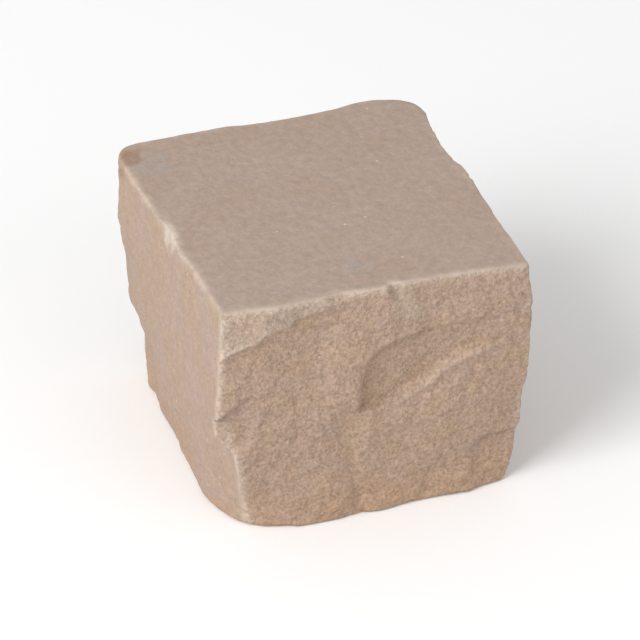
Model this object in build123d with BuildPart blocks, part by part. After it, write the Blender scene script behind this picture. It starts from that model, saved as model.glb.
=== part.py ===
from build123d import *
from math import cos, exp, hypot, pi, sin
import os

# Sandstone sett, hand split. Millimetres, +Z up.
# The origin is the middle of the stone's foot, which lies on the ground.
# The head is the flat face that is walked on, and the four sides are riven.
# A place on a side is u, across it from its middle to the right as one looks at it, and t, below
# the head.

# Driving sizes
head_width = 100.0  # between the left and right arrises, along X
head_depth = 102.0  # between the front and back arrises, along Y
stone_height = 85.0

# How far each side draws in from the head to the foot
front_batter = 0.2
right_batter = 3.0
back_batter = 5.0
left_batter = 3.0
belly = 1.8  # how far the sides swell between head and foot
batter_power = 2.6  # the sides hold their width and then turn in near the foot

# Waves that the split leaves, and each side's share of their height
wave_height = 0.55
wave_length = 46.0
front_waves = 0.25
right_waves = 0.5
back_waves = 0.8
left_waves = 0.3

broken_edge = 3.5  # width over which a broken step falls

# Bevel along the left part of the front head arris, down to a lip that climbs to the right
bevel_reach = 50.0  # from the left arris to where it runs out
bevel_fall = 14.5  # from the head to the lip, at the left arris
bevel_least_fall = 2.0  # and where it runs out
bevel_set_back = 0.8
corner_set_back = 2.6  # further set back at the left corner of the head
corner_reach = 20.0
lip_drop = 1.1  # step under the lip
lip_run_out = 40.0  # below the head, where the step has faded
head_flare = 0.9  # how far the head's right corner stands out

# Notch in the front head arris: a wall that leans to the right, and a floor that runs out
notch_from_left = 54.0
notch_lean = 0.42
notch_depth = 3.6
notch_run_out = 5.0
notch_fall = 18.0

# Shell-shaped scar of the blow, on the front: a squared-off rim, and a crest across it
scar_from_right = 5.0  # middle of the shell, from the right arris
scar_below_head = 62.0
scar_half_width = 51.0
scar_half_height = 44.0
scar_squareness = 4.5
scar_tilt = 0.1  # how much its rim climbs to the right
scar_depth = 2.6
scar_right_share = 0.3  # share of its depth that is left near the right arris
scar_foot = 60.0  # below the head, where its left leg has faded
crest_from_right = 18.0  # highest place of the crest
crest_below_head = 30.0
crest_curve = 0.0155  # how fast the crest falls away, per millimetre
groove_from_right = 57.0  # groove that leads down from the shell's left end
groove_sway = 2.7
groove_depth = 0.9
groove_half_width = 9.0

# Flakes off the front, at its right and left arrises
ledge_from_right = 17.5  # left end of the ledge
ledge_below_head = 63.2
ledge_depth = 2.1
left_flake_below_head = 37.0
left_flake_slope = 0.65
left_flake_reach = 12.0
left_flake_depth = 3.0
left_flake_fall = 19.0
foot_draw_in = 5.0  # how far the left end of the front draws in at the foot
foot_reach = 26.0

# Flakes off the left side: a fall towards its rear arris, and a long one at its front arris
rear_upper_fall = 4.2
rear_lower_fall = 2.4
rear_foot_swell = 1.6
rear_reach = 41.0
long_flake_below_head = 43.0
long_flake_depth = 6.2
long_flake_reach = 27.0
head_turn = 1.5  # how much further out the head's left arris stands at the rear

# Steps and a flake on the right and back sides
slant_step = 1.2
slant_below_head = 58.0
slant_slope = 0.35
right_flake_below_head = 43.5
right_flake_depth = 1.7
right_flake_reach = 27.0
back_step = 1.3
back_step_lean = 0.35

# Hollows: middle across and below the head, half width, half height and depth, less than 0 for a swell
front_hollow = (-26.0, 32.0, 24.0, 19.0, 1.6)
front_swell = (-9.0, 33.0, 12.0, 20.0, -1.2)
front_boss = (26.0, 49.0, 27.0, 21.0, -1.5)
front_foot_swell = (-10.0, 0.0, 24.0, 34.0, -1.6)  # below the foot
right_hollow = (12.0, 42.0, 30.0, 24.0, 2.0)
right_head_scar = (22.0, 4.0, 17.0, 13.0, 1.6)
back_upper_hollow = (-18.0, 30.0, 26.0, 18.0, 1.8)
back_lower_hollow = (26.0, 68.0, 24.0, 20.0, 2.2)
back_head_scar = (-8.0, 2.0, 22.0, 15.0, 1.6)
left_swell = (50.0, 36.0, 24.0, 17.0, -0.9)

# Corners knocked off: reach along X, along Y and up or down the arris
back_right_head_flake = (8.0, 11.0, 26.0)
back_left_head_flake = (6.0, 6.0, 34.0)
front_right_foot_flake = (9.0, 7.0, 9.0)

# Mesh of points that carries a riven face
front_spacing = 5.5
side_spacing = 7.0
fit = 0.05  # how near the face passes to its points
overrun = 6.0  # how far a riven face runs past the stone on every side

left_arris = -head_width / 2
right_arris = head_width / 2
front_arris = -head_depth / 2
back_arris = head_depth / 2


def rise(value, start, end):
    """Smooth step from 0 at start to 1 at end."""
    s = min(max((value - start) / (end - start), 0.0), 1.0)
    return s * s * (3 - 2 * s)


def broken(past):
    """Share of its depth that a broken step has fallen, at a way past its edge."""
    return rise(past, -broken_edge / 3, broken_edge * 2 / 3)


def dish(u, t, mid_u, mid_t, half_u, half_t, depth):
    """Hollow that is deepest in the middle and fades out at an elliptical rim."""
    reach = hypot((u - mid_u) / half_u, (t - mid_t) / half_t)
    return -depth * cos(pi * reach / 2) ** 2 if reach < 1 else 0.0


def split_waves(u, t, turn):
    """Long low waves of the split: three crossing sines, shifted by the side's own turn."""
    k = 2 * pi / wave_length
    first = sin(k * (u + 0.35 * t) + turn)
    second = sin(k * (0.6 * t - 0.8 * u) * 1.3 + 2.1 * turn)
    third = sin(k * (1.1 * t + 0.5 * u) * 0.7 - 1.4 * turn)
    return wave_height * (first + 0.7 * second + 0.8 * third)


def battered(half_size, batter, t):
    """Distance of a side from the stone's axis, t below the head."""
    share = min(max(t / stone_height, 0.0), 1.2)
    return half_size + belly * sin(pi * min(share, 1.0)) - batter * share**batter_power


def bevel(u, t):
    """Depth of the bevel under the head arris, and of the step under its lip."""
    from_left = u - left_arris
    share = min(max(1 - from_left / bevel_reach, 0.0), 1.1)
    lip = bevel_least_fall + (bevel_fall - bevel_least_fall) * share**1.6
    set_back = bevel_set_back + corner_set_back * rise(from_left, corner_reach, 2)
    slope = set_back * min(max(1 - t / lip, 0.0), 1.2)
    step = lip_drop * broken(t - lip) * rise(t, lip_run_out, lip_run_out - 25)
    return (slope + step) * rise(from_left, bevel_reach + 4, bevel_reach - 20)


def notch(u, t):
    """Depth of the notch in the head arris: deepest at its wall."""
    way = u - left_arris - notch_from_left - notch_lean * t
    floor = exp(-max(way, 0.0) / notch_run_out)
    return notch_depth * rise(way, -1.5, 1.5) * floor * rise(t, notch_fall, -2)


def shell(u, t):
    """Depth of the shell scar: a steep rim, a floor that deepens towards the crest, and a quick rise
    there. It fades to the right and down its left leg."""
    from_right = right_arris - u
    across = abs(from_right - scar_from_right) / scar_half_width
    down = abs(t - scar_tilt * (from_right - 30) - scar_below_head) / scar_half_height
    reach = (across**scar_squareness + down**scar_squareness) ** (1 / scar_squareness)
    above = crest_below_head + crest_curve * (from_right - crest_from_right) ** 2 - t
    floor = 0.7 + 0.3 * exp(-max(above, 0.0) / 6)
    inside = rise(reach, 1.02, 0.94) * broken(above) * rise(t, scar_foot, scar_foot - 18)
    fade = scar_right_share + (1 - scar_right_share) * rise(from_right, 16, 42)
    return scar_depth * inside * floor * fade


def front_flakes(u, t):
    """Depth of the ledge at the right arris, the flake under the left one, and the corner of the foot."""
    from_right = right_arris - u
    from_left = u - left_arris
    ledge = ledge_depth * broken(t - ledge_below_head)
    ledge *= rise(from_right, ledge_from_right, ledge_from_right - 5)
    past_line = t - left_flake_below_head + left_flake_slope * from_left
    flake_end = left_flake_below_head + left_flake_fall
    left_flake = left_flake_depth * broken(past_line) * rise(t, flake_end, flake_end - 12)
    left_flake *= rise(from_left, left_flake_reach, 0)
    foot = foot_draw_in * rise(from_left, foot_reach, 4) * rise(t, stone_height - 27, stone_height - 1)
    return ledge + left_flake + foot


def front_side(u, t):
    """Front: bevel, notch, shell with a boss under it, groove, and flakes off both arrises."""
    out = battered(head_depth / 2 - 0.3, front_batter, t) + front_waves * split_waves(u, t, 0.4)
    out += head_flare * rise(u, 0, right_arris - 6) * rise(t, 60, 0)
    out -= bevel(u, t) + notch(u, t) + shell(u, t) + front_flakes(u, t)
    for hollow in (front_hollow, front_swell, front_boss):
        out += dish(u, t, *hollow)
    out += dish(u, t - stone_height, *front_foot_swell)
    groove = abs(u - right_arris + groove_from_right + groove_sway * cos((t - 51) / 10))
    return out - groove_depth * rise(groove, groove_half_width, 0) * rise(t, 38, 50)


def right_side(u, t):
    """Right: a hollow, a scar off the head arris, a slanting step, and a flake at the front arris."""
    out = battered(head_width / 2, right_batter, t) + right_waves * split_waves(u, t, 2.3)
    out += dish(u, t, *right_hollow) + dish(u, t, *right_head_scar)
    slant = t - slant_below_head - slant_slope * u + 1.5 * sin(u / 6)
    out -= slant_step * broken(slant) * rise(slant, 24, 8) * rise(u, -22, -10)
    near = rise(u - front_arris, right_flake_reach, 1)
    lower = 0.9 * broken(t - ledge_below_head + 2)
    return out + near * (0.6 - right_flake_depth * rise(t - right_flake_below_head, 0, 6) - lower)


def back_side(u, t):
    """Back: two hollows, a shell off the head arris, and a step that leads down from it."""
    out = battered(head_depth / 2 + 0.3, back_batter, t) + back_waves * split_waves(u, t, 4.0)
    for hollow in (back_upper_hollow, back_lower_hollow, back_head_scar):
        out += dish(u, t, *hollow)
    bend = u - 10 - back_step_lean * (t - 20) + 2 * sin(t / 7)
    return out - back_step * broken(bend) * rise(bend, 26, 6) * rise(t, 12, 26) * rise(t, 74, 58)


def left_side(u, t):
    """Left: smooth and full. It falls away to its rear arris, and has a long flake off its front one."""
    out = battered(head_width / 2 + 0.3, left_batter, t) + left_waves * split_waves(u, t, 5.2)
    out += (head_turn / 2 - head_turn * rise(u, 2, 22)) * rise(t, 16, 0) + dish(u, t, *left_swell)
    fall = rear_upper_fall * rise(t, 16, 46) + rear_lower_fall * rise(t, 56, 70)
    fall -= 1.0 + rear_foot_swell * rise(t, stone_height - 19, stone_height - 1)
    out -= fall * rise(u + back_arris, rear_reach, 1)
    below = t - long_flake_below_head
    flake = long_flake_depth * (0.75 * rise(below, 0, 11) + 0.25 * rise(below, 10, 37))
    return out - flake * rise(-u - front_arris, long_flake_reach, 1)


def riven_face(side, relief, half_reach, spacing):
    """Surface through a mesh of points, each as far out from the axis as the relief says."""
    columns = round(2 * half_reach / spacing)
    rows = round((stone_height + 2 * overrun) / spacing)
    mesh = []
    for column in range(columns + 1):
        u = half_reach * (2 * column / columns - 1)
        line = []
        for row in range(rows + 1):
            t = (stone_height + 2 * overrun) * row / rows - overrun
            line.append(side.from_local_coords((u, stone_height - t, relief(u, t))))
        mesh.append(line)
    return Face.make_surface_from_array_of_points(mesh, tol=fit, min_deg=2, max_deg=2)


def flake(corner, reaches):
    """Plane that takes a corner off at its three reaches, and looks away from the stone."""
    middle = Vector(0, 0, stone_height / 2)
    outward = [1 if part > 0 else -1 for part in corner - middle]
    normal = [sign / reach for sign, reach in zip(outward, reaches)]
    start = corner - Vector(outward[0] * reaches[0], 0, 0)
    return Plane(start, z_dir=normal)


front = Plane((0, 0, 0), x_dir=(1, 0, 0), z_dir=(0, -1, 0))
right = Plane((0, 0, 0), x_dir=(0, 1, 0), z_dir=(1, 0, 0))
back = Plane((0, 0, 0), x_dir=(-1, 0, 0), z_dir=(0, 1, 0))
left = Plane((0, 0, 0), x_dir=(0, -1, 0), z_dir=(-1, 0, 0))

waste = 5.0  # stone around the sett before it is split out
half_x = head_width / 2 + waste
half_y = head_depth / 2 + waste
foot_right = right_arris - right_batter - right_flake_depth

with BuildPart() as sandstone_sett:
    with BuildSketch():
        Rectangle(2 * half_x, 2 * half_y)
    extrude(amount=stone_height)

    for side, relief, half_reach, spacing in (
        (front, front_side, half_x + overrun, front_spacing),
        (right, right_side, half_y + overrun, side_spacing),
        (back, back_side, half_x + overrun, side_spacing),
        (left, left_side, half_y + overrun, side_spacing),
    ):
        split(bisect_by=riven_face(side, relief, half_reach, spacing), keep=Keep.TOP)

    for corner, reaches in (
        (Vector(right_arris, back_arris, stone_height), back_right_head_flake),
        (Vector(left_arris, back_arris, stone_height), back_left_head_flake),
        (Vector(foot_right, front_arris, 0), front_right_foot_flake),
    ):
        split(bisect_by=flake(corner, reaches), keep=Keep.BOTTOM)

sandstone_sett.part.label = "sandstone_sett"

os.makedirs("parts", exist_ok=True)
export_step(sandstone_sett.part, "parts/sandstone_sett.step")
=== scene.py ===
import math

import bpy
import numpy as np
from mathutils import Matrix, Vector


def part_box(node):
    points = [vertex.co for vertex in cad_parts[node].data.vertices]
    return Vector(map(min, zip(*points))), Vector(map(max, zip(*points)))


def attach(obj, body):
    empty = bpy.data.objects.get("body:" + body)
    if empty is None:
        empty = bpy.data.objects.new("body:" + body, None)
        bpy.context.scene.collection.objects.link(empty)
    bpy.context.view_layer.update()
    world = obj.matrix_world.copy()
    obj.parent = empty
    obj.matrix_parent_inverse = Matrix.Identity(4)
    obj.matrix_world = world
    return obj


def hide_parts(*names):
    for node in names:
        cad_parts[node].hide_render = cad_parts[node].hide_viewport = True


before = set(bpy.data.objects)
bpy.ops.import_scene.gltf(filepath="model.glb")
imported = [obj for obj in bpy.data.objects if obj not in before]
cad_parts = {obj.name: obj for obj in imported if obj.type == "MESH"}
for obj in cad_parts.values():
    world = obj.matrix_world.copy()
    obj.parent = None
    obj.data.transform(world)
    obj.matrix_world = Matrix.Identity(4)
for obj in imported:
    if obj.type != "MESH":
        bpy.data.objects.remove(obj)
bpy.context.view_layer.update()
_, head_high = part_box("sandstone_sett")

# Lengths below are in millimetres, and a metre is that many of them. Along a side, u runs to the
# right as seen from outside it, which is x on the front and y on the right, and t runs down from
# the head
METRE = 1000.0
HEIGHT = head_high.z * METRE
HALF_WIDTH = 50.0  # of the head, along X
HALF_DEPTH = 51.0  # of the head, along Y

# Each side's distance from the axis at the head, how far it draws in to the foot, its share of the
# waves, and where they start
SIDE_FORM = {
    "front": (HALF_DEPTH - 0.3, 0.2, 0.25, 0.4),
    "right": (HALF_WIDTH, 3.0, 0.5, 2.3),
    "back": (HALF_DEPTH + 0.3, 5.0, 0.8, 4.0),
    "left": (HALF_WIDTH + 0.3, 3.0, 0.3, 5.2),
}
BELLY = 1.8  # how far each side swells between head and foot
BATTER_POWER = 2.6
WAVE_HEIGHT = 0.55
WAVE_LENGTH = 46.0

# Soft hollows of each side, as the middle's u and t, half the width and height, and the depth. A
# depth below 0 is a swell
FRONT_DISHES = (
    (-10.0, 0.0, 8.0, 6.0, 1.2),  # dip in the head arris
    (-26.0, 32.0, 24.0, 19.0, 1.6),  # hollow under the bevel
    (-9.0, 33.0, 12.0, 20.0, -1.2),  # swell left of the scar
    (26.0, 49.0, 27.0, 21.0, -1.5),  # boss under the crest
    (-10.0, 85.0, 24.0, 34.0, -1.6),  # full foot
    (30.0, 90.0, 24.0, 19.0, -1.8),  # foot, towards its right corner
    (3.0, 90.0, 14.0, 16.0, -1.4),  # middle of the foot
)
RIGHT_DISHES = ((12.0, 42.0, 30.0, 24.0, 2.0),)
BACK_DISHES = ((-18.0, 30.0, 26.0, 18.0, 1.8), (26.0, 68.0, 24.0, 20.0, 2.2))
LEFT_DISHES = (
    (50.0, 36.0, 24.0, 17.0, -0.9),  # full front arris
    (-36.0, 88.0, 13.0, 17.0, -1.6),  # the foot waves: out, in and out
    (-9.0, 88.0, 15.0, 19.0, 1.4),
    (28.0, 90.0, 24.0, 20.0, -1.6),
)

# Front: it is fuller at its upper right, and a bevel runs under the head arris down to a lip
FRONT_FULLNESS = 0.9
LIP_HIGHEST = 2.0
LIP_FALL = 12.5  # how much lower the lip lies at the left arris
LIP_POWER = 1.6
BEVEL_DEPTH = 0.8
BEVEL_LEFT_DEPTH = 2.6  # added at the left arris
LIP_DROP = 1.1
SHELF_DROP = 0.7

# Front: notch in the head arris
NOTCH_X = 4.0
NOTCH_LEAN = 0.42
NOTCH_DEPTH = 3.3
NOTCH_RUN_OUT = 5.0
NOTCH_FALL = 18.0

# Front: shell-shaped scar, with a squared-off ellipse for its rim and a soft stair for its crest
SHELL_U = 45.0
SHELL_T = 62.0
SHELL_HALF_U = 51.0
SHELL_HALF_T = 44.0
SHELL_POWER = 6.0
SHELL_DROP = 2.6
CREST_T = 29.5
CREST_FALL = 16.0
CREST_RIDGE = 0.9

# Front: groove down from the scar, ledge at the lower right arris, and flakes off the left one
GROOVE_X = -7.1
GROOVE_SWING = 2.7
GROOVE_DEPTH = 1.1
GROOVE_CORE = 0.5
LEDGE_X = 30.8
LEDGE_T = 63.2
LEDGE_DEPTH = 2.1
LIP_FLAKE = 3.0
FOOT_FLAKE = 5.0

# Other sides: steps, and what is gone from their arrises
RIGHT_STEP = 1.2
BACK_LEAN = 0.02
BACK_STEP = 1.3
LEFT_FRONT_FLAKE = 4.6
LEFT_FOOT_FLAKE = 1.6

HEAD_ROLL = 1.4  # how far the head falls at its front right corner

# Width over which two sides blend at an arris. The upright ones are rounder at the foot in front
# and at the head behind, by what is added at the right and at the left
HEAD_BLEND = 1.6
FOOT_BLEND = 2.5
FRONT_BLEND = 1.6
FRONT_FOOT_BLEND = (2.2, 4.0)
REAR_BLEND = 4.0
REAR_HEAD_BLEND = (12.0, 6.0)

# Chips off the arrises: how many, how large the balls that bite them are, and how deep they go
HEAD_CHIPS = {"front": 26, "left": 26, "back": 16, "right": 16}
HEAD_CHIP_RADII = (1.5, 6.0)
HEAD_CHIP_DEPTH = 0.9
FOOT_CHIPS = {"front": 16, "left": 14, "back": 12, "right": 12}
FOOT_CHIP_RADII = (2.0, 8.0)
FOOT_CHIP_DEPTH = 1.5
UPRIGHT_CHIPS = 14  # on each of the four
UPRIGHT_CHIP_RADII = (2.0, 7.0)
UPRIGHT_CHIP_DEPTH = 1.0
LEAST_CHIP_DEPTH = 0.1

# Relief of the riven sides as the height, size and turn of each noise, more of it on the front, and
# facets with their depth on the front, right, back, left, head and foot
RELIEF = ((0.4, 11.0, 1.0), (0.28, 5.0, 2.0), (0.3, 2.3, 4.0))
FRONT_RELIEF = ((0.22, 5.5, 9.0), (0.1, 2.3, 10.0))
RELIEF_SINK = 0.35  # how far the relief lies inside the form
FACET_SIZE = 17.0
FACET_DEPTHS = (0.3, 1.0, 1.0, 0.2, 0.0, 0.0)
HEAD_GRAIN = 0.06

# Points of the stone's skin along its width, depth and height
COLUMNS_X = 128
COLUMNS_Y = 116
ROWS_Z = 140
CROWDING = 0.7  # how much closer the points stand at the arrises, 0 for not at all
SETTLING_ROUNDS = 14
SETTLING_SHARE = 0.85  # of the way to the stone that a point goes in each round

# Lattice of the noises, and the cells by which one turn shifts it, from a start above 0
LATTICE = 32
LATTICE_START = 100.0
TURN_SHIFT = np.array([7.13, 3.71, 5.29])
dice = np.random.default_rng(41)
lattice = dice.uniform(-1.0, 1.0, (LATTICE, LATTICE, LATTICE))

# Colours that lie over the stone's own where it is marked, as mark, strength and colour
TINTS = (
    ("foot", 0.4, "#b28e6c"),
    # brown: brown stone, and painted shade in the shell scar and under its rim
    ("brown_and_shade", 0.45, "#93785a"),
    ("cream", 0.55, "#ad9b8b"),
    # arris: pale bruised arrises, and painted highlight along the front's bevel lip and crest
    ("arris", 0.55, "#d0bfaf"),
    ("pale", 0.7, "#cdbfb1"),
    ("stain", 0.7, "#8a6038"),
    ("spots", 0.45, "#9f9a98"),
)

# Studio, in metres and watts
FLOOR_HALF = 3.0
LIGHT_AIM = (0.0, 0.0, 0.04)
KEY = {"place": (-1.5, -0.7, 1.4), "size": 1.2, "power": 33.0}
FILL = {"place": (0.9, -1.8, 1.1), "size": 1.5, "power": 6.5}
SURROUND_STRENGTH = 0.63
CAMERA_PLACE = (-0.6963, -1.9524, 1.4979)
CAMERA_AIM = (0.0, 0.0, 0.040)
CAMERA_LENS = 450.0  # focal length in millimetres


def rise(x, start, end):
    """Smooth step: 0 up to start, 1 from end, and three squares less two cubes between."""
    s = np.clip((x - start) / (end - start), 0.0, 1.0)
    return s * s * (3.0 - 2.0 * s)


def dish(u, t, mid_u, mid_t, half_u, half_t, depth):
    """Soft hollow: minus depth times the squared cosine of the way out to its elliptical rim."""
    reach = np.hypot((u - mid_u) / half_u, (t - mid_t) / half_t)
    return -depth * np.cos(np.pi / 2 * np.minimum(reach, 1.0)) ** 2


def dishes(u, t, rows):
    """Sum of a side's soft hollows."""
    return sum(dish(u, t, *row) for row in rows)


def scoop(u, t, mid_u, mid_t, half_u, half_t, depth, turn=0.0):
    """Flake scar with a crisp rim: minus depth times (1 less the squared reach) to the power 0.8.
    The reach is measured in an ellipse that is turned by some radians."""
    across = (u - mid_u) * math.cos(turn) + (t - mid_t) * math.sin(turn)
    down = (t - mid_t) * math.cos(turn) - (u - mid_u) * math.sin(turn)
    reach2 = (across / half_u) ** 2 + (down / half_t) ** 2
    return -depth * np.maximum(1.0 - reach2, 0.0) ** 0.8


def noise(p, grain, turn):
    """Smooth noise from -1 to 1: random numbers on a lattice of that grain, blended between its
    corners."""
    q = p / grain + turn * TURN_SHIFT + LATTICE_START
    cell = np.floor(q).astype(int)
    f = q - cell
    f = f * f * (3.0 - 2.0 * f)
    total = 0.0
    for dx in (0, 1):
        for dy in (0, 1):
            for dz in (0, 1):
                at = (cell + (dx, dy, dz)) % LATTICE
                value = lattice[at[:, 0], at[:, 1], at[:, 2]]
                weight = np.where(dx, f[:, 0], 1 - f[:, 0]) * np.where(dy, f[:, 1], 1 - f[:, 1])
                total = total + value * weight * np.where(dz, f[:, 2], 1 - f[:, 2])
    return total


def noises(p, rows):
    """Sum of noises, given as height, size and turn."""
    return sum(height * noise(p, size, turn) for height, size, turn in rows)


def larger(a, b, blend):
    """The larger of two, rounded over where they differ by less than blend."""
    near = np.maximum(blend - np.abs(a - b), 0.0) / blend
    return np.maximum(a, b) + near * near * blend / 4.0


def split_waves(u, t, turn):
    """Long low waves of the split: three crossing sines, shifted by the side's own turn."""
    k = 2 * np.pi / WAVE_LENGTH
    first = np.sin(k * (u + 0.35 * t) + turn)
    second = np.sin(k * (0.6 * t - 0.8 * u) * 1.3 + 2.1 * turn)
    third = np.sin(k * (1.1 * t + 0.5 * u) * 0.7 - 1.4 * turn)
    return WAVE_HEIGHT * (first + 0.7 * second + 0.8 * third)


def plain_side(name, u, t):
    """Distance of a side from the stone's axis before anything broke off it: half the head plus the
    belly, less the batter, and its share of the waves."""
    half_size, batter, waves, turn = SIDE_FORM[name]
    share = np.clip(t / HEIGHT, 0.0, 1.2)
    swell = BELLY * np.sin(np.pi * np.minimum(share, 1.0))
    return half_size + swell - batter * share**BATTER_POWER + waves * split_waves(u, t, turn)


def bevel_edge(x):
    """Lower lip of the bevel under the head arris, below the head: a power curve that climbs to the
    right, with a small ripple where the stone broke."""
    share = np.clip(-x / HALF_WIDTH, 0.0, 1.1)
    ripple = 0.35 * np.sin(x / 1.7) + 0.25 * np.sin(x / 0.9 + 1.0)
    return LIP_HIGHEST + LIP_FALL * share**LIP_POWER + ripple


def bevel_depth(x, t):
    """Depth of the bevel: most at the head arris and at the left. The stone steps in under its lip,
    and under a shelf lower down."""
    edge = bevel_edge(x)
    slope = BEVEL_DEPTH + BEVEL_LEFT_DEPTH * rise(x, -30.0, -48.0)
    slope = slope * np.clip(1.0 - t / edge, 0.0, 1.0)
    under_lip = LIP_DROP * rise(t, edge, edge + 1.3) * rise(t, 40.0, 15.0)
    shelf = 9.5 + 0.006 * (x + 20.0) ** 2
    under_shelf = rise(t, shelf, shelf + 1.2) * rise(t, 26.0, 14.0) * rise(x, -10.0, -16.0)
    return (slope + under_lip) * rise(x, 4.0, -20.0) + SHELF_DROP * under_shelf


def notch_way(x, t):
    """Way to the right from the sharp wall of the notch in the head arris, which leans over."""
    return x - NOTCH_X - NOTCH_LEAN * t


def notch_depth(x, t):
    """Depth of the notch: most at its wall, running out to the right and downwards."""
    way = notch_way(x, t)
    floor = rise(way, -0.6, 2.0) * np.exp(-np.maximum(way, 0.0) / NOTCH_RUN_OUT)
    return NOTCH_DEPTH * floor * rise(t, NOTCH_FALL, -2.0)


def shell_reach(x, t):
    """Way out from the middle of the shell scar: 1 on its rim, which climbs a little to the
    right."""
    across = np.abs(x - SHELL_U) / SHELL_HALF_U
    down = np.abs(t + 0.05 * (x - 20.0) - SHELL_T) / SHELL_HALF_T
    return (across**SHELL_POWER + down**SHELL_POWER) ** (1 / SHELL_POWER)


def above_crest(x, t):
    """How far a point of the front lies above the crest that crosses the shell: a smooth step down
    to the left, with a small ripple."""
    return CREST_T + CREST_FALL * rise(x, 36.0, -2.0) + 0.2 * np.sin(x / 2.3) - t


def shell_depth(x, t):
    """Depth of the shell scar from 0 to 1: a steep rim, a floor, and a quick rise to the crest. It
    fades to the right and down the left leg."""
    above = above_crest(x, t)
    inside = rise(shell_reach(x, t), 1.0, 0.965) * rise(above, -0.4, 2.2)
    floor = 0.7 + 0.3 * np.exp(-np.maximum(above, 0.0) / 6.0)
    return inside * floor * (0.3 + 0.7 * rise(x, 40.0, 12.0)) * rise(t, 60.0, 42.0)


def crest_height(x, t):
    """Height of the low ridge along the crest: a bell curve across it that fades at both ends."""
    ridge = np.exp(-((above_crest(x, t) / 1.6) ** 2))
    return CREST_RIDGE * ridge * rise(x, 44.0, 34.0) * rise(x, 2.0, 12.0)


def groove_depth(x, t):
    """Depth of the groove that leads down from the scar: it swings along a cosine, and has a
    narrow core."""
    away = np.abs(x - GROOVE_X + GROOVE_SWING * np.cos((t - 51.0) / 10.0))
    across = GROOVE_DEPTH * rise(away, 9.0, 0.0) + GROOVE_CORE * rise(away, 2.6, 0.0)
    return across * rise(t, 38.0, 50.0)


def ledge_depth(x, t):
    """Depth of the break at the lower right arris, under a ledge: steep at its top and left, and
    less deep towards the foot."""
    top = LEDGE_T + 0.05 * (x - 33.5) + 0.3 * np.sin(x / 1.3)
    left = LEDGE_X + 2.6 * rise(t, 69.0, 63.0)
    inside = rise(t, top, top + 1.2) * rise(x, left, left + 4.5)
    return LEDGE_DEPTH * inside * (1.0 - 0.45 * rise(t, 66.0, 84.0))


def left_flakes(x, t):
    """Depth of what is gone from the front at its left arris: a flake under a slanting lip, and a
    larger one at the foot."""
    below_lip = t - 30.3 + 0.65 * (x + 41.4)
    upper = rise(below_lip, 0.0, 0.9) * rise(x, -38.0, -50.0) * rise(t, 56.0, 44.0)
    return LIP_FLAKE * upper + FOOT_FLAKE * rise(x, -24.0, -46.0) * rise(t, 58.0, 84.0)


def front_side(x, t):
    """Front: bevel under the head arris, shell scar with its crest and boss, notch, groove, ledge
    and flakes."""
    out = plain_side("front", x, t) + dishes(x, t, FRONT_DISHES) + crest_height(x, t)
    out += FRONT_FULLNESS * rise(x, 0.0, 44.0) * rise(t, 60.0, 0.0)
    out -= bevel_depth(x, t) + notch_depth(x, t) + SHELL_DROP * shell_depth(x, t)
    return out - groove_depth(x, t) - ledge_depth(x, t) - left_flakes(x, t)


def right_side(y, t):
    """Right: one long hollow, a scar off the head arris, and a step that runs slanting across. Its
    front arris steps in twice and swells again towards the foot."""
    out = plain_side("right", y, t) + dishes(y, t, RIGHT_DISHES)
    out += scoop(y, t, 22.0, 4.0, 17.0, 13.0, 2.0, turn=0.35)
    slant = t - 58.0 - 0.35 * y + 1.5 * np.sin(y / 6.0)
    out -= RIGHT_STEP * rise(slant, 0.0, 1.6) * rise(slant, 24.0, 8.0) * rise(y, -22.0, -10.0)
    arris = 0.6 - 1.5 * rise(t, 43.5, 49.5) - 0.6 * rise(t, 60.5, 64.0)
    arris += 0.9 * rise(t, 64.0, 74.0) * rise(t, 86.0, 78.0)
    return out + rise(y, -24.0, -50.0) * arris


def back_side(u, t):
    """Back: two hollows with a low swell between them, a shell off the head arris and a step that
    leads down from it."""
    out = plain_side("back", u, t) + dishes(u, t, BACK_DISHES) + BACK_LEAN * u
    out += scoop(u, t, -8.0, 2.0, 22.0, 15.0, 2.0, turn=-0.25)
    bend = u - 10.0 - 0.35 * (t - 20.0) + 2.0 * np.sin(t / 7.0)
    step = rise(bend, 0.0, 1.8) * rise(bend, 26.0, 6.0)
    return out - BACK_STEP * step * rise(t, 12.0, 26.0) * rise(t, 74.0, 58.0)


def left_side(u, t):
    """Left: smooth and full, with a shallow chip off the head arris. Its rear arris, where u is
    negative, falls away in two steps, and a long flake is off the lower front arris."""
    out = plain_side("left", u, t) + dishes(u, t, LEFT_DISHES)
    out += (0.7 - 1.5 * rise(u, 2.0, 22.0)) * rise(t, 16.0, 0.0)
    arris = 1.0 - 4.2 * rise(t, 16.0, 46.0) - 2.4 * rise(t, 56.0, 70.0) + 1.6 * rise(t, 66.0, 84.0)
    out += rise(u, -10.0, -50.0) * arris
    out += scoop(u, t, -1.0, 0.0, 8.0, 5.0, 0.8)
    flake = LEFT_FRONT_FLAKE * rise(t, 44.0, 53.0) + LEFT_FOOT_FLAKE * rise(t, 53.0, 80.0)
    return out - flake * rise(u, 24.0, 50.0)


def head_level(x, y):
    """Height of the head above the foot: flat, and rolled off towards the front right corner."""
    return HEIGHT - HEAD_ROLL * rise(x, 28.0, 52.0) * rise(-y, 30.0, 54.0)


def sides_of(p):
    """How far each point lies outside each of the six faces, as columns."""
    x, y, z = p.T
    t = HEIGHT - z
    return np.stack(
        [
            -y - front_side(x, t),
            x - right_side(y, t),
            y - back_side(-x, t),
            -x - left_side(-y, t),
            z - head_level(x, y),
            -z,
        ],
        axis=1,
    )


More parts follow.
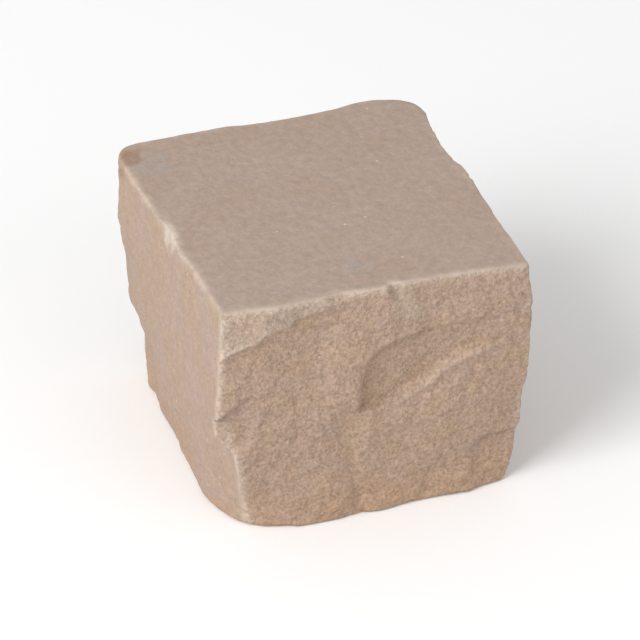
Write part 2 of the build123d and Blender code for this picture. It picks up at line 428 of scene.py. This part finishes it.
def outside(p, chips):
    """How far a point is outside the stone: the largest of its six sides, rounded at the arrises
    and bitten by the chips. Negative inside."""
    front, right, back, left, head, foot = sides_of(p).T
    x, y, z = p.T
    high = rise(z, HEIGHT - 55.0, HEIGHT - 5.0)
    low = rise(z, 22.0, 2.0)
    rear = REAR_BLEND + np.where(x > 0, *REAR_HEAD_BLEND) * high
    upright = np.where(y > 0, rear, FRONT_BLEND + np.where(x > 0, *FRONT_FOOT_BLEND) * low)
    walls = larger(np.maximum(front, back), np.maximum(left, right), upright)
    uneven = 1.0 + 0.6 * noise(p, 9.0, 3.0)
    shape = larger(walls, head, HEAD_BLEND * uneven)
    shape = larger(shape, foot, FOOT_BLEND * uneven)
    for centre, radius in chips:
        shape = np.maximum(shape, radius - np.linalg.norm(p - centre, axis=1))
    return shape


def crowded(count):
    """Points from -1 to 1 that stand closer together at both ends, along a sine."""
    s = np.linspace(-1.0, 1.0, count + 1)
    reach = math.pi / 2 * CROWDING
    return np.sin(s * reach) / math.sin(reach)


def box_skin():
    """Grid over the six faces of a box, from -1 to 1 each way, as points and quads that share
    the points along the box's edges. Each quad's corners run anticlockwise from outside."""
    steps = (crowded(COLUMNS_X), crowded(COLUMNS_Y), crowded(ROWS_Z))
    size = np.array([len(s) for s in steps])
    number = -np.ones(size, int)
    shell = np.zeros(size, bool)
    for axis in range(3):
        edge = [slice(None)] * 3
        for end in (0, -1):
            edge[axis] = end
            shell[tuple(edge)] = True
    index = np.argwhere(shell)
    number[shell] = np.arange(len(index))
    points = np.stack([steps[axis][index[:, axis]] for axis in range(3)], axis=1)
    quads = []
    for axis in range(3):
        for end in (0, -1):
            sheet = np.take(number, end, axis=axis)
            round_quad = (sheet[:-1, :-1], sheet[1:, :-1], sheet[1:, 1:], sheet[:-1, 1:])
            corners = np.stack(round_quad, axis=-1)
            turned = (axis == 1) != (end == 0)
            quads.append((corners[..., ::-1] if turned else corners).reshape(-1, 4))
    return points, np.concatenate(quads)


def arris_place(side_x, side_y, t):
    """Where two neighbouring sides meet, t below the head: each reaches as far as the other lets
    it, worked out in a few rounds. The sides are given as -1 or 1 along X and along Y."""
    x, y = side_x * HALF_WIDTH, side_y * HALF_DEPTH
    for _ in range(4):
        x = right_side(y, t) if side_x > 0 else -left_side(-y, t)
        y = back_side(-x, t) if side_y > 0 else -front_side(x, t)
    return float(x), float(y)


def side_place(name, s, t):
    """Point of a side, s along it and t below the head, and the way that the side faces."""
    if name == "front":
        return s, -float(front_side(s, t)), (0, -1)
    if name == "back":
        return s, float(back_side(-s, t)), (0, 1)
    if name == "left":
        return -float(left_side(-s, t)), s, (-1, 0)
    return float(right_side(s, t)), s, (1, 0)


def make_chips():
    """Small flakes knocked off the arrises: balls that bite into them, as (centre, radius)."""
    chips = []

    def bite(x, y, z, away, radii, deepest, least_draw=0.1):
        """Ball that goes into the arris, from the way between its two sides. Its depth goes by the
        square of what is drawn, so most are shallow."""
        radius = dice.uniform(*radii)
        depth = LEAST_CHIP_DEPTH + deepest * dice.uniform(least_draw, 1.0) ** 2
        lift = (radius - depth) / math.sqrt(2)
        chips.append((np.array([x, y, z]) + lift * np.array(away), radius))

    for name, count in HEAD_CHIPS.items():
        for _ in range(count):
            x, y, (nx, ny) = side_place(name, dice.uniform(-46.0, 46.0), 0.0)
            bite(x, y, HEIGHT, (nx, ny, 1), HEAD_CHIP_RADII, HEAD_CHIP_DEPTH, least_draw=0.15)
    for name, count in FOOT_CHIPS.items():
        for _ in range(count):
            x, y, (nx, ny) = side_place(name, dice.uniform(-40.0, 40.0), HEIGHT)
            bite(x, y, 0.0, (nx, ny, -1), FOOT_CHIP_RADII, FOOT_CHIP_DEPTH)
    for side_x in (-1, 1):
        for side_y in (-1, 1):
            for _ in range(UPRIGHT_CHIPS):
                t = dice.uniform(2.0, HEIGHT - 4.0)
                x, y = arris_place(side_x, side_y, t)
                away = (side_x, side_y, 0)
                bite(x, y, HEIGHT - t, away, UPRIGHT_CHIP_RADII, UPRIGHT_CHIP_DEPTH)
    return chips


def stone_points(skin):
    """Each point of the box's skin, moved along its ray from the stone's heart until it lies on
    the stone, in rounds, each by a share of how far the point is outside."""
    heart = np.array([0.0, 0.0, HEIGHT / 2])
    ray = skin * np.array([HALF_WIDTH, HALF_DEPTH, HEIGHT / 2])
    distance = np.linalg.norm(ray, axis=1)
    ray = ray / distance[:, None]
    square = np.max(np.abs(ray), axis=1)
    chips = make_chips()
    for _ in range(SETTLING_ROUNDS):
        miss = outside(heart + ray * distance[:, None], chips)
        distance = distance - SETTLING_SHARE * miss / square
    return heart + ray * distance[:, None]


def roughened(p):
    """Grain of the stone that a hand feels: noise of several sizes that moves each point in or out
    from the side it lies on, most on the front, least on the head, and not at all on the foot. Low
    facets that meet in ridges, the folded size of a noise, cut in most on the right and back."""
    sides = sides_of(p)
    outward = np.array([[0, -1, 0], [1, 0, 0], [0, 1, 0], [-1, 0, 0], [0, 0, 1], [0, 0, -1]], float)
    nearness = np.exp(-((sides.max(axis=1)[:, None] - sides) / 0.8))
    nearness /= nearness.sum(axis=1)[:, None]
    riven = 1.0 - nearness[:, 4] - nearness[:, 5]
    rough = noises(p, RELIEF) - RELIEF_SINK + nearness[:, 0] * noises(p, FRONT_RELIEF)
    rough -= np.abs(noise(p, FACET_SIZE, 8.0)) * (nearness @ np.array(FACET_DEPTHS))
    push = riven * rough + nearness[:, 4] * HEAD_GRAIN * (noise(p, 2.6, 5.0) - 1.0)
    return p + push[:, None] * (nearness @ outward)


def mesh_piece(name, points, quads, marks):
    """Mesh from points in millimetres and quads, with each mark as a point attribute."""
    mesh = bpy.data.meshes.new(name)
    mesh.from_pydata(points / METRE, [], quads)
    mesh.shade_smooth()
    for mark, values in marks.items():
        attribute = mesh.attributes.new(mark, "FLOAT", "POINT")
        attribute.data.foreach_set("value", values.astype(np.float32))
    piece = bpy.data.objects.new(name, mesh)
    bpy.context.scene.collection.objects.link(piece)
    return piece


def marks_of(p):
    """Where the stone's colour changes, and where highlight and shade are painted into it, from 0
    for not at all to 1 for fully at every point. The material takes more than 1 as 1."""
    x, y, z = p.T
    t = HEIGHT - z
    sides = sides_of(p)
    ranked = np.sort(sides[:, :5], axis=1)
    gap = ranked[:, -1] - ranked[:, -2]
    ragged = 0.5 + 0.5 * noise(p, 3.2, 6.0)
    coarse = 0.5 + 0.5 * noise(p, 7.0, 7.0)
    wander = 2.4 * (ragged - 0.5)
    on_front = rise(sides[:, 0] - np.delete(sides, 0, axis=1).max(axis=1), -0.5, 0.5)
    on_left = rise(sides[:, 3] - np.delete(sides, 3, axis=1).max(axis=1), -0.5, 0.5)

    # Cream: the bevel, the notch, and a breath of it over the upper right of the front
    edge = bevel_edge(x)
    band = rise(x, 12.0, -8.0) * rise(t + wander, edge + 0.8, edge - 0.8)
    way = notch_way(x, t) + wander
    pale_notch = rise(way, -0.5, 0.5) * rise(way, 8.5, 5.5) * rise(t + wander, 18.0, 12.0)
    breath = 0.3 * rise(x, 2.0, 12.0) * rise(t, 26.0, 14.0)
    cream = on_front * np.maximum(np.maximum(band, pale_notch), breath)

    # Brown: a strip down from the notch and a rusty spot at the left, and over the shell scar a
    # brown floor with painted shade, darkest where the scar is deepest and just inside its rim
    strip = np.exp(-(((x - 14.3 - 0.05 * t + wander) / 1.8) ** 2)) * rise(t, 24.0, 18.0)
    rim_shade = rise(shell_reach(x, t), 0.86, 0.97)
    # Mottled brown floor of the scar with painted shade, deeper with the scar's depth and along its
    # rim
    scar_brown_and_shade = shell_depth(x, t) * (0.05 + 0.45 * coarse + 0.3 * rim_shade)
    rust = np.exp(-(((x + 47.0) ** 2 + (t - 43.4) ** 2) / 3.0**2))
    brown_and_shade = on_front * np.maximum(np.maximum(0.8 * strip, scar_brown_and_shade), rust)

    # On and near the head: a pale chip in the left arris, a stain at a corner, two greyish spots
    pale_chip = rise(np.hypot((y - 1.0) / 7.5, t / 5.5) + 0.35 * wander, 1.15, 0.45)
    corner = np.hypot(x + 48.0, y - 44.0) + 1.5 * wander
    stain = rise(corner, 5.5, 2.5) * rise(t, 9.0, 4.0) * (0.4 + 0.6 * ragged)
    left_spot = rise(np.hypot(x + 42.5, y - 37.0) + 2.0 * wander, 8.0, 3.0)
    front_spot = rise(np.hypot(x + 1.0, y + 37.0) + 2.0 * wander, 7.0, 2.0)

    # Bruised stone is pale along the arrises and in one patch. Along the bevel's lip and the crest,
    # which catch the light, a pale painted highlight lies
    lip_highlight = np.exp(-(((t - edge + 0.3) / 0.7) ** 2)) * rise(x, -30.0, -40.0) * on_front
    # Painted highlight along the crest, where it faces the light
    crest_highlight = 0.5 * np.exp(-(((above_crest(x, t) + 0.2) / 1.6) ** 2))
    crest_highlight = crest_highlight * rise(x, 42.0, 30.0) * rise(x, 6.0, 18.0) * on_front
    bruise = 0.8 * rise(np.hypot(np.hypot(x + 49.0, y + 48.5) / 4.0, (t - 45.0) / 8.0), 1.1, 0.4)
    bruise_and_highlight = np.maximum(lip_highlight, np.maximum(crest_highlight, bruise) * (0.3 + 0.7 * ragged))
    upright = rise(ranked[:, -2] - sides[:, 4], 0.5, 3.0)
    arris = np.exp(-((gap / (1.0 + 1.3 * ragged)) ** 2))
    arris = arris * (0.4 + 0.6 * coarse) * (1.0 - 0.65 * upright)
    front_left = np.exp(-((sides[:, 0] - sides[:, 3]) ** 2) / 2.0**2)
    front_left = (0.7 + 0.3 * ragged) * front_left * rise(sides[:, 4], -0.5, -2.0)
    return {
        "head": rise(sides[:, 4] - sides[:, :4].max(axis=1), -0.6, 0.4),
        "left": on_left,
        # Pale bruised arrises, with painted highlight along the bevel's lip and the crest
        "arris": np.maximum(np.maximum(arris, bruise_and_highlight), front_left),
        "cream": cream,
        # Brown stone, with painted shade in the shell scar
        "brown_and_shade": brown_and_shade,
        "pale": pale_chip * rise(-x, 46.5, 48.5),
        "stain": stain,
        "spots": 0.8 * np.maximum(left_spot, front_spot) * rise(t, 2.0, 0.5),
        "foot": rise(t + 4.0 * wander, 62.0, 84.0) * (0.25 + coarse),
    }


def linear(hex_colour):
    """sRGB hex to linear red, green, blue and an alpha of 1."""
    parts = [int(hex_colour[i : i + 2], 16) / 255 for i in (1, 3, 5)]
    return [c / 12.92 if c <= 0.04045 else ((c + 0.055) / 1.055) ** 2.4 for c in parts] + [1.0]


def add(tree, kind, inputs=None, **settings):
    """Adds a node, with its settings, and gives each input a value or a link from an output."""
    made = tree.nodes.new(kind)
    for name, value in settings.items():
        setattr(made, name, value)
    for name, value in (inputs or {}).items():
        if isinstance(value, bpy.types.NodeSocket):
            tree.links.new(value, made.inputs[name])
        else:
            made.inputs[name].default_value = value
    return made


def split_sandstone():
    """Sandstone: quartz grains in an iron-tinted cement, split by hand. It is matt, a little
    cloudy in colour, with single grains that glint pale or show dark."""
    material = bpy.data.materials.new("split_sandstone")
    material.use_nodes = True
    tree = material.node_tree
    tree.nodes.clear()
    place = add(tree, "ShaderNodeTexCoord").outputs["Object"]

    def mark(name):
        """Value of one of the stone's marks."""
        return add(tree, "ShaderNodeAttribute", attribute_name=name).outputs["Fac"]

    def mixed(factor, a, b, blend="MIX"):
        """Two colours mixed, or blended in another way."""
        inputs = {0: factor, 6: a, 7: b}
        return add(tree, "ShaderNodeMix", inputs, data_type="RGBA", blend_type=blend).outputs[2]

    def cloudy(scale, **settings):
        """Noise texture with so many waves to the metre."""
        inputs = {"Vector": place, "Scale": scale, **settings}
        return add(tree, "ShaderNodeTexNoise", inputs).outputs["Fac"]

    def mapped(value, start, end, low=0.0, high=1.0):
        """Value mapped from between start and end to between low and high."""
        limits = {"From Min": start, "From Max": end, "To Min": low, "To Max": high}
        return add(tree, "ShaderNodeMapRange", {"Value": value, **limits}).outputs["Result"]

    def spread(texture, low=0.0, high=1.0):
        """Noise texture, whose middle range is spread from low to high."""
        return mapped(texture, 0.3, 0.7, low, high)

    # Colour of the front, right and back, of the head and of the left side, then their marks
    clouds = spread(cloudy(60.0, Detail=2.0))
    wisps = spread(cloudy(130.0, Detail=3.0))
    warm = mixed(wisps, linear("#aa9181"), linear("#ab9079"))
    cool = mixed(clouds, linear("#aa9484"), linear("#ad998c"))
    weathered = mixed(clouds, linear("#ab9589"), linear("#aa927c"))
    colour = mixed(mark("left"), mixed(mark("head"), warm, cool), weathered)
    for name, strength, tint in TINTS:
        colour = mixed(mark(name), colour, mixed(strength, colour, linear(tint)))

    # Sandy grain, strong on the riven sides, weak on the head and fair on the left, and blots
    pebbles = cloudy(380.0, Detail=2.0)
    grains = cloudy(900.0, Detail=3.0, Roughness=0.7)
    blots = cloudy(330.0, Detail=2.0, Roughness=0.6)
    grain = mixed(mark("head"), spread(grains, 0.7, 1.28), spread(grains, 0.93, 1.06))
    grain = mixed(mark("left"), grain, spread(grains, 0.88, 1.1))
    colour = mixed(1.0, colour, grain, "MULTIPLY")
    colour = mixed(1.0, colour, spread(blots, 0.93, 1.07), "MULTIPLY")

    # Single grains that glint: the middles of a few chosen cells
    cells = add(tree, "ShaderNodeTexVoronoi", {"Vector": place, "Scale": 280.0})
    chosen = add(tree, "ShaderNodeSeparateColor", {"Color": cells.outputs["Color"]}).outputs["Red"]
    rare = add(tree, "ShaderNodeMath", {0: chosen, 1: 0.93}, operation="GREATER_THAN")
    near = mapped(cells.outputs["Distance"], 0.16, 0.08)
    inputs = {0: near, 1: rare.outputs["Value"]}
    glint = add(tree, "ShaderNodeMath", inputs, operation="MULTIPLY").outputs["Value"]
    colour = mixed(glint, colour, mixed(0.5, colour, linear("#e0d2c6")))

    # Fine bump, with distances in metres, softer on the left and softest on the head
    strength = mapped(mark("head"), 0.0, 1.0, mapped(mark("left"), 0.0, 1.0, 0.9, 0.5), 0.3)

    def bumped(height, distance, **below):
        """Normal of a bump of that height texture, over the one below it if there is one."""
        inputs = {"Height": height, "Strength": strength, "Distance": distance, **below}
        return add(tree, "ShaderNodeBump", inputs).outputs["Normal"]

    normal = bumped(grains, 0.0004, Normal=bumped(pebbles, 0.0012))
    surface = {"Base Color": colour, "Roughness": 0.92, "IOR": 1.54, "Normal": normal}
    shader = add(tree, "ShaderNodeBsdfPrincipled", surface)
    add(tree, "ShaderNodeOutputMaterial", {"Surface": shader.outputs["BSDF"]})
    return material


def sett():
    """The stone, which stands for its solid in the frame."""
    skin, quads = box_skin()
    points = roughened(stone_points(skin))
    piece = mesh_piece("sett_stone", points, quads, marks_of(points))
    piece.data.materials.append(split_sandstone())
    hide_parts("sandstone_sett")
    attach(piece, "root")


def floor_paper():
    """Pale matt studio paper."""
    material = bpy.data.materials.new("floor_paper")
    material.use_nodes = True
    shader = material.node_tree.nodes["Principled BSDF"]
    shader.inputs["Base Color"].default_value = linear("#fcfcfc")
    shader.inputs["Roughness"].default_value = 0.9
    return material


def pale_floor():
    """Plain studio floor, far larger than the view."""
    corners = METRE * FLOOR_HALF * np.array([[-1, -1, 0], [1, -1, 0], [1, 1, 0], [-1, 1, 0]])
    floor = mesh_piece("studio_floor", corners, [[0, 1, 2, 3]], {})
    floor.data.materials.append(floor_paper())


def aimed(name, data, place, aim):
    """Puts a light or camera at a place so that it looks at a point."""
    holder = bpy.data.objects.new(name, data)
    holder.location = place
    holder.rotation_euler = (Vector(aim) - Vector(place)).to_track_quat("-Z", "Y").to_euler()
    bpy.context.scene.collection.objects.link(holder)
    return holder


def soft_light(name, place, size, power):
    """Square soft box that looks at the stone."""
    lamp = bpy.data.lights.new(name, "AREA")
    lamp.size = size
    lamp.energy = power
    aimed(name, lamp, place, LIGHT_AIM)


def studio():
    """Soft key from the upper left, weaker fill from the front, and a pale surround."""
    soft_light("key", **KEY)
    soft_light("fill", **FILL)
    world = bpy.data.worlds.new("surround")
    world.use_nodes = True
    surround = world.node_tree.nodes["Background"]
    surround.inputs["Color"].default_value = linear("#f7f7f7")
    surround.inputs["Strength"].default_value = SURROUND_STRENGTH
    bpy.context.scene.world = world
    bpy.context.scene.view_settings.view_transform = "Standard"


def camera():
    """Camera where the photograph was taken from, aimed at the middle of the stone."""
    lens = bpy.data.cameras.new("camera")
    lens.lens = CAMERA_LENS
    lens.sensor_width = 36.0
    lens.clip_end = 50.0
    bpy.context.scene.camera = aimed("camera", lens, CAMERA_PLACE, CAMERA_AIM)


sett()
pale_floor()
studio()
camera()
